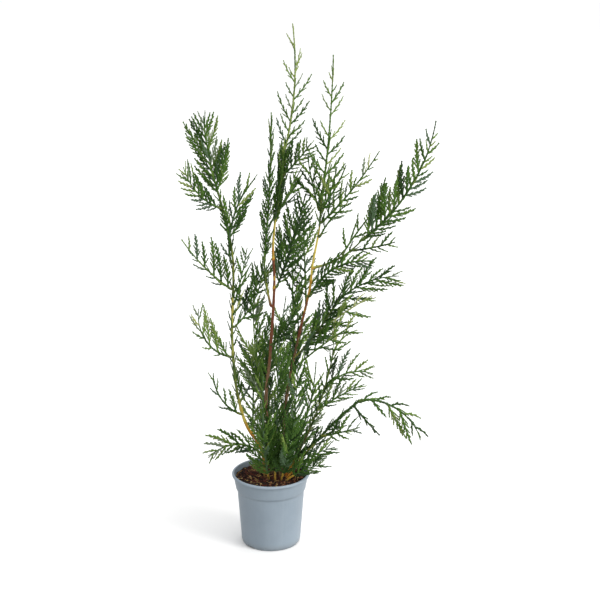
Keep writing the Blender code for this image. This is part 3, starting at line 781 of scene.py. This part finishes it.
def make_limb(name, limb, parent):
    """A limb in its bark: round, with low ridges and the worn bases of paired scale leaves up it."""
    sides, scale_relief = (18, 0.16) if name in STEMS else (14, 0.12)
    path = evenly(limb.path, RING_STEP)
    count = len(path) - 1
    seed = random.Random(name).uniform(0, 50)

    def relief(index, turn, point):
        along = index * RING_STEP / SCALE_BASE
        pair, rise = int(along), along % 1
        facing = max(0.0, math.cos(2 * (turn - pair * math.pi / 2))) ** 1.5
        scale_base = facing * rise**1.5 * scale_relief
        round_place = Vector((math.cos(turn) * 2.2, math.sin(turn) * 2.2, point.z * 0.05 + seed))
        ridge = noise.noise(round_place) * RIDGE
        lump = noise.noise(point * 0.16) * LUMP
        knobs = sum(math.exp(-(((point.z - height) / KNOB_SPREAD) ** 2)) for height in KNOBS.get(name, ()))
        return scale_base + ridge + lump + knobs * KNOB_SWELL

    tubes = Tubes()
    radii = [limb.radius_at(index / count) - BARK_SINK for index in range(count + 1)]
    tubes.add(path, radii, sides, 0, relief)
    if parent:
        joint = limb_point_near(parent, path[0] - UP * JOINT_DROP)
        inside = [joint, joint.lerp(path[0], 0.5), joint.lerp(path[0], 0.85)]
        swell = (0.3, 0.25, 0.2, 0.16, 0.1, 0.02, -0.15)
        collar = [*inside, *(path[step] for step in COLLAR_STEPS)]
        tubes.add(collar, [radii[0] + more for more in swell], sides, 0, relief)
    low, high = limb.path[0].z, max(point.z for point in limb.path)
    material = bark_material(name + "_bark", BARK[name], low, high)
    return finished(tubes.made(name + "_relief", [material]), name)


WOOD, OLIVE, RUST, BROWN = (94, 74, 48), (100, 96, 56), (124, 68, 42), (128, 98, 70)
ORANGE, AMBER, CREAM = (208, 132, 44), (210, 166, 60), (226, 206, 96)
LIME, GREEN = (160, 164, 76), (84, 106, 44)
BARK = {  # colours up each limb, by height in millimetres
    "leader_stem": [
        (82, WOOD), (120, OLIVE), (160, BROWN), (215, BROWN), (245, RUST), (302, RUST),
        (305, AMBER), (310, AMBER), (314, RUST), (335, RUST), (340, ORANGE), (347, AMBER),
        (356, CREAM), (380, CREAM), (394, GREEN), (462, GREEN),
    ],
    "right_stem": [
        (82, WOOD), (130, OLIVE), (170, BROWN), (250, BROWN), (262, RUST), (288, RUST), (300, AMBER),
        (316, AMBER), (324, ORANGE), (333, CREAM), (382, CREAM), (394, GREEN), (412, GREEN),
    ],
    "left_stem": [
        (82, WOOD), (112, AMBER), (130, ORANGE), (142, AMBER), (149, CREAM), (167, CREAM),
        (180, LIME), (196, GREEN), (220, GREEN), (232, LIME), (242, LIME), (254, GREEN),
        (272, LIME), (284, CREAM), (300, LIME), (318, GREEN), (334, LIME), (356, GREEN),
        (415, GREEN),
    ],
    "companion_bough": [(285, RUST), (293, BROWN), (304, LIME), (325, GREEN)],
    "long_bough": [(310, AMBER), (318, CREAM), (332, LIME), (352, GREEN)],
    "broad_bough": [(210, BROWN), (230, LIME), (255, GREEN)],
    "rise_bough": [(82, ORANGE), (96, AMBER), (120, OLIVE), (180, GREEN)],
    "droop_bough": [(82, ORANGE), (100, AMBER), (120, LIME), (140, GREEN)],
}
KNOBS = {  # heights of swollen joints
    "leader_stem": (252, 307, 341), "right_stem": (262, 324), "left_stem": (166, 232, 284),
}
KNOB_SWELL, KNOB_SPREAD = 0.42, 2.6
# Heights between which a stem shows from the front
GLADES = (("leader_stem", 165, 335), ("right_stem", 180, 212), ("right_stem", 250, 350))
GLADE_HALF_WIDTH, GLADE_DEPTH = 2.6, 75


# ---- foliage


LEAF_SWELL, OTHER_SWELL, AXIL_SWELL = 1.32, 0.98, 0.74  # radii at a pair's tips, between them, and under it
LEAF_AHEAD = 0.22  # how far leaf tips stand ahead of the gap between them, in lengths of a pair


class Foliage:
    """Scale-leaved twigs.  Each is a cubic curve with its radii, a tint and the number of its leaf pairs."""

    def __init__(self):
        self.rows = defaultdict(list)

    def add(self, start, first, second, stop, side, radii, flat, scale, tint):
        length = (stop - start).length
        pairs = max(2, round(length / scale))
        self.rows[pairs].append((*start, *first, *second, *stop, *side, *radii, flat, tint))

    def made(self, name, materials):
        points, quads, fans, tints, fan_tints = [], [], [], [], []
        base = 0
        for pairs in sorted(self.rows):
            made, quad, fan, tint = self.twigs(pairs, np.array(self.rows[pairs]))
            points.append(made)
            quads.append(quad + base)
            fans.append(fan + base)
            tints.append(np.repeat(tint, quad.shape[0] // len(tint)))
            fan_tints.append(np.repeat(tint, 4))
            base += len(made)
        return mesh_object(
            name,
            np.concatenate(points),
            [np.concatenate(quads), np.concatenate(fans)],
            materials,
            [np.concatenate(tints), np.concatenate(fan_tints)],
        )

    @staticmethod
    def twigs(pairs, rows):
        """Points and faces of every twig with that many pairs of leaves.

        Each pair has a ring of four points in its axil and another at its leaves' tips.
        """
        start, first, second, stop, side = (rows[:, None, 3 * i : 3 * i + 3] for i in range(5))
        foot, tip, flat, tint = rows[:, 15], rows[:, 16], rows[:, 17], rows[:, 18]
        count = len(rows)
        pair = np.repeat(np.arange(pairs), 2)
        at_tip = np.tile([0, 1], pairs)
        t = ((pair + 0.80 * at_tip + 0.02) / pairs)[None, :, None]
        left = 1 - t
        middle = left**3 * start + 3 * t * left**2 * first + 3 * t**2 * left * second + t**3 * stop
        along = left**2 * (first - start) + 2 * t * left * (second - first) + t**2 * (stop - second)
        along = 3 * along
        step = np.linalg.norm(along, axis=2, keepdims=True) / pairs
        along /= np.linalg.norm(along, axis=2, keepdims=True)
        across = side - along * (side * along).sum(2, keepdims=True)
        across /= np.linalg.norm(across, axis=2, keepdims=True)
        through = np.cross(along, across)
        radius = foot[:, None] + (tip - foot)[:, None] * t[..., 0]
        rings = np.empty((count, 2 * pairs, 4, 3))
        for corner in range(4):
            out, flatness = ((across, 1.0), (through, flat[:, None]))[corner % 2]
            sign = 1 if corner < 2 else -1
            paired = (pair % 2) == (corner % 2)
            swell = np.where(at_tip == 1, np.where(paired, LEAF_SWELL, OTHER_SWELL), AXIL_SWELL)
            ahead = np.where((at_tip == 1) & paired, LEAF_AHEAD, 0.0)
            reach = (radius * flatness * swell)[..., None] * sign
            rings[:, :, corner] = middle + out * reach + along * step * ahead[None, :, None]
        each = 8 * pairs + 1
        points = np.concatenate([rings.reshape(count, 8 * pairs, 3), stop[:, 0][:, None, :]], axis=1)
        ring, corner = np.meshgrid(np.arange(2 * pairs - 1), np.arange(4), indexing="ij")
        ring, corner = ring.ravel(), corner.ravel()
        after = (corner + 1) % 4
        quad = np.stack([ring * 4 + corner, ring * 4 + after, ring * 4 + 4 + after, ring * 4 + 4 + corner], 1)
        last = 4 * (2 * pairs - 1)
        fan = np.stack([last + np.arange(4), last + (np.arange(4) + 1) % 4, np.full(4, 8 * pairs)], 1)
        offsets = (np.arange(count) * each)[:, None, None]
        return points.reshape(-1, 3), (quad + offsets).reshape(-1, 4), (fan + offsets).reshape(-1, 3), tint


def twig_curve(root, aim, lean, length):
    """Control points of a twig that starts along aim and turns towards lean."""
    tip_aim = (aim + lean).normalized()
    stop = root + (aim + tip_aim).normalized() * length
    return root, root + aim * length / 3, stop - tip_aim * length / 3, stop


LEAVES = {
    "leaf_shade": (30, 55, 16),
    "leaf_deep": (39, 68, 19),
    "leaf_green": (54, 86, 26),
    "leaf_mid": (72, 104, 37),
    "leaf_fresh": (98, 126, 53),
    "leaf_tip": (127, 145, 75),
    "leaf_pale": (160, 168, 104),
    "leaf_glaucous": (76, 99, 70),
    "leaf_sage": (113, 128, 99),
}
TINT = {name: index for index, name in enumerate(LEAVES)}
LIGHT_STEPS = (-0.35, 0.15, 0.65, 1.15, 1.6, 2.0)  # light up to which a spray has each of the first tints
LOW_GROWTH, LOW_LIGHT = 210, 1.5  # the height below which no spray is paler than fresh green
GREY_SHARE = 0.12  # sprays with a grey-green bloom


def tint_of(rng, height, share):
    """A spray's tint: deep and green inside and low, fresh and pale towards the tips and the top."""
    light = 0.9 * share + 0.9 * (height - 250) / 350 + rng.gauss(0, 0.45)
    if height < LOW_GROWTH:
        light = min(light, LOW_LIGHT)
    if rng.random() < GREY_SHARE:
        return TINT["leaf_glaucous" if light < 1.0 else "leaf_sage"]
    for limit, name in zip(LIGHT_STEPS, LEAVES):
        if light < limit:
            return TINT[name]
    return TINT["leaf_pale"]


def fresher(rng, tint, share):
    """The tint of a twig on a branchlet: often a step paler towards the branchlet's tip."""
    return tint + 1 if tint < TINT["leaf_tip"] and rng.random() < 0.15 + 0.6 * share else tint


def clear_of(tree, start, stop):
    """Whether a straight line meets no limb, and no screen that keeps a stem in sight."""
    way = stop - start
    return tree.ray_cast(start + way * 0.12, way.normalized(), way.length * 0.95)[0] is None


GAPS = [  # where sky shows between the sprays: x and height of the middle, and half sizes
    (53, 220, 10, 22), (-30, 265, 5, 15), (-25, 178, 4, 20), (31, 172, 5, 14), (11, 300, 9, 20),
]
SIGHT = 0.33  # how much lower a thing looks for being nearer, over how much nearer it is


def in_gap(point):
    """Whether a place is in one of the gaps through the crown, seen from the front and a little above."""
    height = point.z + SIGHT * point.y
    return any(((point.x - x) / wide) ** 2 + ((height - z) / high) ** 2 < 1 for x, z, wide, high in GAPS)


POT_MARGIN, RIM_INSIDE = 1.5, 39


def in_pot(point):
    """Whether a place is in the pot's wall or in the compost, or nearly."""
    radius = math.hypot(point.x, point.y)
    if point.z >= POT_HEIGHT + POT_MARGIN or radius >= LIP_RADIUS + 2:
        return False
    return radius > RIM_INSIDE or point.z < SOIL_TOP + POT_MARGIN


def blocked(tree, start, stop):
    """Whether growth from one place to another would end in the pot or cross a limb or a screen."""
    return in_pot(stop) or not clear_of(tree, start, stop)


AXIS_SWELL = (1.2, 1.1)  # the leafy stem's radii at its foot and tip, over the bare stem's
BARE_IN_POT, BARE_ON_LIMB = 13, 5  # length of bare stem at a mass's foot
FOOT_RADII = [1.75, 1.5, *(1.35 - 0.03 * step for step in range(6))]


def add_foot(path, bare_share, start, tint, bare):
    """The bare stem from a place in the compost or in the limb to where the leaves start."""
    points = [start, *(place_on(path, bare_share * step / 6)[0] for step in range(7))]
    bare.add(points, FOOT_RADII, 8, tint, lambda index, turn, point: 0.12 * noise.noise(point * 0.8))


def grow_mass(name, entry, limbs, tree, leaves, bare):
    """A mass's stem, its branchlets and their twigs."""
    parent, _, compass, rise, rise_at_tip, length, reach, crowd, pale = entry
    on_ground = parent == "ground"
    path = shoot_path(entry, limbs, MASS_RADIUS[0], MASS_STEPS)
    lean_right, lean_up = LEAN.get(name, (0, 0.1))
    sparse, stout, taper = SPARSE.get(name, 1), STOUT.get(name, 1), TAPER.get(name, 0)
    grow = Growth(random.Random(name), tree, leaves, Vector((lean_right, 0, lean_up)), sparse, stout)
    rng = grow.rng
    start_dir, stop_dir = heading(compass, rise), heading(compass, rise_at_tip)
    sideways = abs(math.cos(math.radians(compass))) > 0.7
    spin = rng.uniform(-25, 25) + (90 if sideways else 0)
    foot, tip = MASS_RADIUS
    bare_share = (BARE_IN_POT if on_ground else BARE_ON_LIMB) / length
    third = length / 3
    leaves.add(
        path[0], path[0] + start_dir * third, path[-1] - stop_dir * third, path[-1],
        frame_along(start_dir, spin).col[0],
        (foot * AXIS_SWELL[0] * stout, tip * AXIS_SWELL[1]), AXIS_FLAT, AXIS_SCALE,
        tint_of(rng, path[0].z, 0.3 + pale),
    )
    start = path[0] - UP * 2.5 if on_ground else limb_point_near(limbs[parent], path[0])
    add_foot(path, bare_share, start, 0 if on_ground else 1, bare)
    count = max(4, round(length * (1 - BARE_TIP) * crowd / (PITCH * sparse)))
    for index in range(count):
        share = ((index + rng.uniform(0.3, 0.8)) / count) ** 1.2 * (1 - BARE_TIP)
        if share < bare_share * 0.8 or rng.random() < max(taper * share**2, OPEN.get(name, 0) * share):
            continue
        root, direction = place_on(path, share)
        side = TURNS[index % len(TURNS)]
        frame = frame_along(direction, side + spin + rng.uniform(-18, 18))
        angle = ANGLE_AT_ROOT + (ANGLE_AT_TIP - ANGLE_AT_ROOT) * share + rng.uniform(-5, 5)
        angle = math.radians(angle * STEEP.get(name, 1))
        size = reach_at(share, reach) / math.sin(angle) * (1.08 - 0.55 * rng.random() ** 1.5)
        size *= (1 + LIFTS.get(name, LIFT) * frame.col[0].z) * (1 - taper * share**2)
        if side in (90, 270):
            size *= CROSS_SHARE
        size = min(size, (1 - share) * length * rng.uniform(0.75, 1.05) + reach * 0.3)
        wide = angle + math.radians(SWEEP)
        aim = frame @ Vector((math.sin(wide), 0, math.cos(wide)))
        if not clear_of(tree, root, root + aim * size):
            size *= 0.5
        if blocked(tree, root, root + aim * size):
            continue
        if in_gap(root + aim * size) or in_gap(root + aim * size * 0.6):
            continue
        grow.branchlet(root, aim, direction, size, tint_of(rng, root.z, share * 0.8 + pale))


AXIS_FLAT, TWIG_FLAT = 0.9, 0.75  # thickness over width
BRANCHLET_RADII, TWIG_RADII = (1.22, 0.70), (0.98, 0.60)  # at foot and tip
LEAST_TWIG = 2.0
TWIGS_FROM, TWIGS_OVER = 0.08, 0.76  # where along a branchlet its twigs start, and over how much of it
TWIG_ANGLE, TWIG_CLOSING = 34, 8  # degrees at a branchlet's foot, and fewer at its tip


class Growth:
    """How one mass's branchlets grow: its random draws, what they keep clear of, and its habit."""

    def __init__(self, rng, tree, leaves, lean, sparse=1, stout=1.0):
        self.rng, self.tree, self.leaves = rng, tree, leaves
        self.lean, self.sparse, self.stout = lean, sparse, stout

    def branchlet(self, root, aim, direction, size, tint):
        """A branchlet in its own plane, with twigs to its left and right that shorten towards its tip."""
        rng = self.rng
        across = (direction - aim * direction.dot(aim)).normalized()
        across = Matrix.Rotation(math.radians(rng.uniform(-24, 24)), 3, aim) @ across
        curve = twig_curve(root, aim, direction * SWAY + self.lean, size)
        stout = min(1.12, 0.62 + size / 60) / self.sparse**0.5 * self.stout
        radii = [radius * stout for radius in BRANCHLET_RADII]
        twig_radii = [radius * stout for radius in TWIG_RADII]
        self.leaves.add(*curve, across, radii, TWIG_FLAT, BRANCHLET_SCALE, tint)
        count = int(size * TWIGS_OVER / (TWIG_PITCH * self.sparse))
        for index in range(count):
            share = TWIGS_FROM + TWIGS_OVER * (index + rng.uniform(0.2, 0.8)) / max(count, 1)
            place, along = on_curve(curve, share)
            side = (1 if index % 2 else -1) * (across - along * across.dot(along)).normalized()
            out = along.cross(side) * rng.uniform(-0.3, 0.3)
            angle = math.radians(TWIG_ANGLE - TWIG_CLOSING * share + rng.uniform(-6, 6))
            way = (side * math.sin(angle) + along * math.cos(angle) + out * 0.5).normalized()
            long = size * TWIG_SHARE * (1.08 - 0.75 * share) * rng.uniform(0.75, 1.15)
            end = place + way * long
            if long < LEAST_TWIG or in_gap(end) or blocked(self.tree, place, end):
                continue
            twig = twig_curve(place, way, along * 0.6, long)
            tint_here = fresher(rng, tint, share)
            self.leaves.add(*twig, across, twig_radii, TWIG_FLAT, TWIG_SCALE, tint_here)


def on_curve(curve, t):
    """The point on a cubic curve, and its direction there."""
    start, first, second, stop = curve
    left = 1 - t
    point = start * left**3 + first * (3 * t * left**2) + second * (3 * t * t * left) + stop * t**3
    along = (first - start) * left**2 + (second - first) * (2 * t * left) + (stop - second) * t * t
    return point, along.normalized()


# Short branchlets straight from a limb, by the piece that they join: from and to as shares of the
# limb, spacing, length and widest angle.
SPRIGS = {
    "leader_foliage": {
        "leader_stem": [(0.03, 0.4, 3.6, 20, 42), (0.79, 1.0, 1.3, 20, 26)],
        "companion_bough": [(0.15, 1.0, 2.6, 12, 24)],
    },
    "right_foliage": {
        "right_stem": [(0.03, 0.52, 2.6, 22, 42), (0.92, 1.0, 3.0, 14, 34)],
    },
    "long_bough_foliage": {
        "long_bough": [(0.25, 1.0, 5.0, 13, 40)],
        "broad_bough": [(0.12, 1.0, 1.9, 36, 52)],
    },
    "left_foliage": {
        "left_stem": [(0.28, 1.0, 4.5, 13, 40)],
    },
    "low_foliage": {
        "rise_bough": [(0.08, 1.0, 4.0, 18, 42)],
        "droop_bough": [(0.1, 0.62, 3.6, 22, 42), (0.62, 1.0, 7.0, 11, 42)],
    },
}
GOLDEN_TURN = 137.5
ARCH_HEIGHT = 150


def grow_arch(limb, tree, leaves):
    """The end of the drooping bough: green in its scale leaves, with one long twig that hangs from it."""
    grow = Growth(random.Random("arch"), tree, leaves, Vector((0.1, 0, -0.9)), 2.2, 2.0)
    for start, stop in ((0.42, 0.62), (0.62, 0.81), (0.81, 1.0)):
        ends = [place_on(limb.path, start + (stop - start) * step / 3)[0] for step in range(4)]
        side = frame_along((ends[3] - ends[0]).normalized(), 0).col[0]
        tint = tint_of(grow.rng, ARCH_HEIGHT, 0.1)
        leaves.add(*ends, side, (2.0, 1.9), AXIS_FLAT, AXIS_SCALE, tint)
    root, direction = place_on(limb.path, 0.93)
    grow.branchlet(root, heading(345, -50), direction, 45, tint_of(grow.rng, ARCH_HEIGHT, 0.4))


def grow_sprigs(name, runs, limb, tree, leaves):
    """Short branchlets along a limb, between the masses that it carries."""
    grow = Growth(random.Random(name + " sprigs"), tree, leaves, UP * 0.1)
    rng = grow.rng
    turn = rng.uniform(0, 360)
    for start, stop, spacing, size, widest in runs:
        count = round((stop - start) * limb.length / spacing)
        for index in range(count):
            share = start + (stop - start) * (index + rng.uniform(0.2, 0.8)) / count
            point, direction = place_on(limb.path, share)
            turn += GOLDEN_TURN + rng.uniform(-20, 20)
            frame = frame_along(direction, turn)
            angle = math.radians(widest * rng.uniform(0.55, 1.0))
            aim = frame @ Vector((math.sin(angle), 0, math.cos(angle)))
            root = point + frame.col[0] * limb.radius_at(share) * 0.6
            long = size * rng.uniform(0.65, 1.15)
            if in_pot(root + aim * long) or tree.ray_cast(root + aim * 3, aim, long)[0] is not None:
                continue
            grow.branchlet(root, aim, direction, long, tint_of(rng, root.z, rng.uniform(0, 0.6)))


def add_glade(form, limb, low, high):
    """Upright screens before a stem's two sides.  Growth that would cross them is left out."""
    middle = [point for point in evenly(limb.path, 10) if low <= point.z <= high]
    for side in (-GLADE_HALF_WIDTH, GLADE_HALF_WIDTH):
        rows = [
            [form.verts.new((point.x + side, point.y - depth, point.z)) for depth in (0, GLADE_DEPTH)]
            for point in middle
        ]
        for (back, front), (next_back, next_front) in zip(rows, rows[1:]):
            form.faces.new((back, front, next_front, next_back))


def limb_point_near(limb, place):
    """The point on the limb's middle line nearest to a place."""
    points = evenly(limb.path, 3.0)
    return min(points, key=lambda point: (point - place).length)


def limbs_and_tree():
    """Every limb, made in its bark, and what growth keeps clear of: the limbs and the screens."""
    limbs = {name: stem_limb(shape) for name, shape in STEMS.items()}
    for name, entry in BOUGHS.items():
        limbs[name] = Limb(shoot_path(entry, limbs, BOUGH_RADIUS[0], BOUGH_STEPS), BOUGH_RADIUS)
    form = bmesh.new()
    for name, limb in limbs.items():
        parent = limbs.get(BOUGHS[name][0]) if name in BOUGHS else None
        form.from_mesh(make_limb(name, limb, parent).data)
    bmesh.ops.scale(form, vec=(1000, 1000, 1000), verts=form.verts)
    for name, low, high in GLADES:
        add_glade(form, limbs[name], low, high)
    tree = BVHTree.FromBMesh(form)
    form.free()
    return limbs, tree


def make_plant():
    limbs, tree = limbs_and_tree()
    greens = [leaf_material(name, color) for name, color in LEAVES.items()]
    twig_barks = [
        bark_material("shoot_base_bark", [(82, WOOD), (90, AMBER), (102, LIME), (116, GREEN)], 82, 120),
        bark_material("shoot_foot_bark", [(100, LIME), (190, GREEN), (500, GREEN)], 100, 500),
    ]
    for group, members in MASSES.items():
        leaves, bare = Foliage(), Tubes()
        for name, runs in SPRIGS[group].items():
            grow_sprigs(name, runs, limbs[name], tree, leaves)
        if group == "low_foliage":
            grow_arch(limbs["droop_bough"], tree, leaves)
        for name, entry in members.items():
            grow_mass(name, entry, limbs, tree, leaves, bare)
        finished(leaves.made(group, greens), members)
        finished(bare.made(group + "_twigs", twig_barks), members)


# ---- stage


SHEET = (0.93, 0.93, 0.93)
KEY_SIDE = (0.85, -0.5, 0.15)  # the direction that the brighter side of the surroundings lies in
LIGHTS = (  # name, place, size, watts, colour
    ("key", (1.7, -1.1, 1.9), 1.1, 34, (1.0, 0.985, 0.96)),
    ("back", (0.6, 1.9, 1.9), 1.5, 10, (1.0, 1.0, 1.0)),
)


def make_floor():
    nodes = Nodes("studio_floor")
    form = bmesh.new()
    bmesh.ops.create_grid(form, x_segments=1, y_segments=1, size=12)
    floor = object_of(form, "studio_floor")
    floor.data.materials.append(nodes.finish(SHEET, 0.8, 0.1))
    floor.visible_diffuse = False


def make_surroundings():
    """Even light from above and dimmer light from below, brighter on one side."""
    world = bpy.data.worlds.new("studio")
    bpy.context.scene.world = world
    world.use_nodes = True
    new, link = world.node_tree.nodes.new, world.node_tree.links.new
    background = world.node_tree.nodes["Background"]
    where, split, level, ramp = (
        new("ShaderNode" + kind) for kind in ("TexCoord", "SeparateXYZ", "MapRange", "ValToRGB")
    )
    link(where.outputs["Generated"], split.inputs["Vector"])
    link(split.outputs["Z"], level.inputs["Value"])
    level.inputs["From Min"].default_value = -1
    link(level.outputs["Result"], ramp.inputs["Fac"])
    stops = ramp.color_ramp.elements
    stops[0].position, stops[0].color = 0.45, (0.30, 0.31, 0.30, 1)
    stops[1].position, stops[1].color = 0.56, (0.62, 0.62, 0.62, 1)
    stops.new(1.0).color = (1.0, 1.0, 1.0, 1)
    towards = new("ShaderNodeVectorMath")
    towards.operation = "DOT_PRODUCT"
    towards.inputs[1].default_value = Vector(KEY_SIDE).normalized()
    link(where.outputs["Generated"], towards.inputs[0])
    side = new("ShaderNodeMapRange")
    side.inputs["From Min"].default_value = -1
    side.inputs["To Min"].default_value, side.inputs["To Max"].default_value = 0.6, 1.8
    link(towards.outputs["Value"], side.inputs["Value"])
    link(side.outputs["Result"], background.inputs["Strength"])
    link(ramp.outputs["Color"], background.inputs["Color"])


def make_lights():
    for name, place, size, power, color in LIGHTS:
        light = bpy.data.lights.new(name, "AREA")
        light.shape = "DISK"
        light.size = size
        light.energy = power
        light.color = color
        obj = linked(name, light)
        obj.location = place
        obj.rotation_euler = (Vector((0, 0, 0.25)) - Vector(place)).to_track_quat("-Z", "Y").to_euler()


def make_backdrop():
    """A white wall far off, all round.  Only the camera sees it, so it throws no light and no shadow."""
    form = bmesh.new()
    bmesh.ops.create_cone(form, segments=96, radius1=11, radius2=11, depth=8)
    wall = object_of(form, "studio_wall")
    paint = Nodes("studio_wall")
    wall.data.materials.append(paint.finish(SHEET, 0.8, 0.1))
    paint.shader.inputs["Emission Color"].default_value = (1, 1, 1, 1)
    paint.shader.inputs["Emission Strength"].default_value = 1
    wall.visible_diffuse = wall.visible_glossy = wall.visible_transmission = wall.visible_shadow = False


def make_camera():
    """The viewpoint: two metres off, looking down by 18 degrees."""
    camera = bpy.data.cameras.new("camera")
    obj = linked("camera", camera)
    target = Vector((0.034, 0, 0.296))
    obj.location = target + Vector((0, -2.0, 0.654))
    obj.rotation_euler = (target - obj.location).to_track_quat("-Z", "Y").to_euler()
    camera.lens = 112
    camera.sensor_width = 36
    bpy.context.scene.camera = obj


make_camera()
make_floor()
make_surroundings()
make_lights()
make_backdrop()
bpy.context.scene.view_settings.view_transform = "Standard"
make_pot()
make_compost()
make_plant()
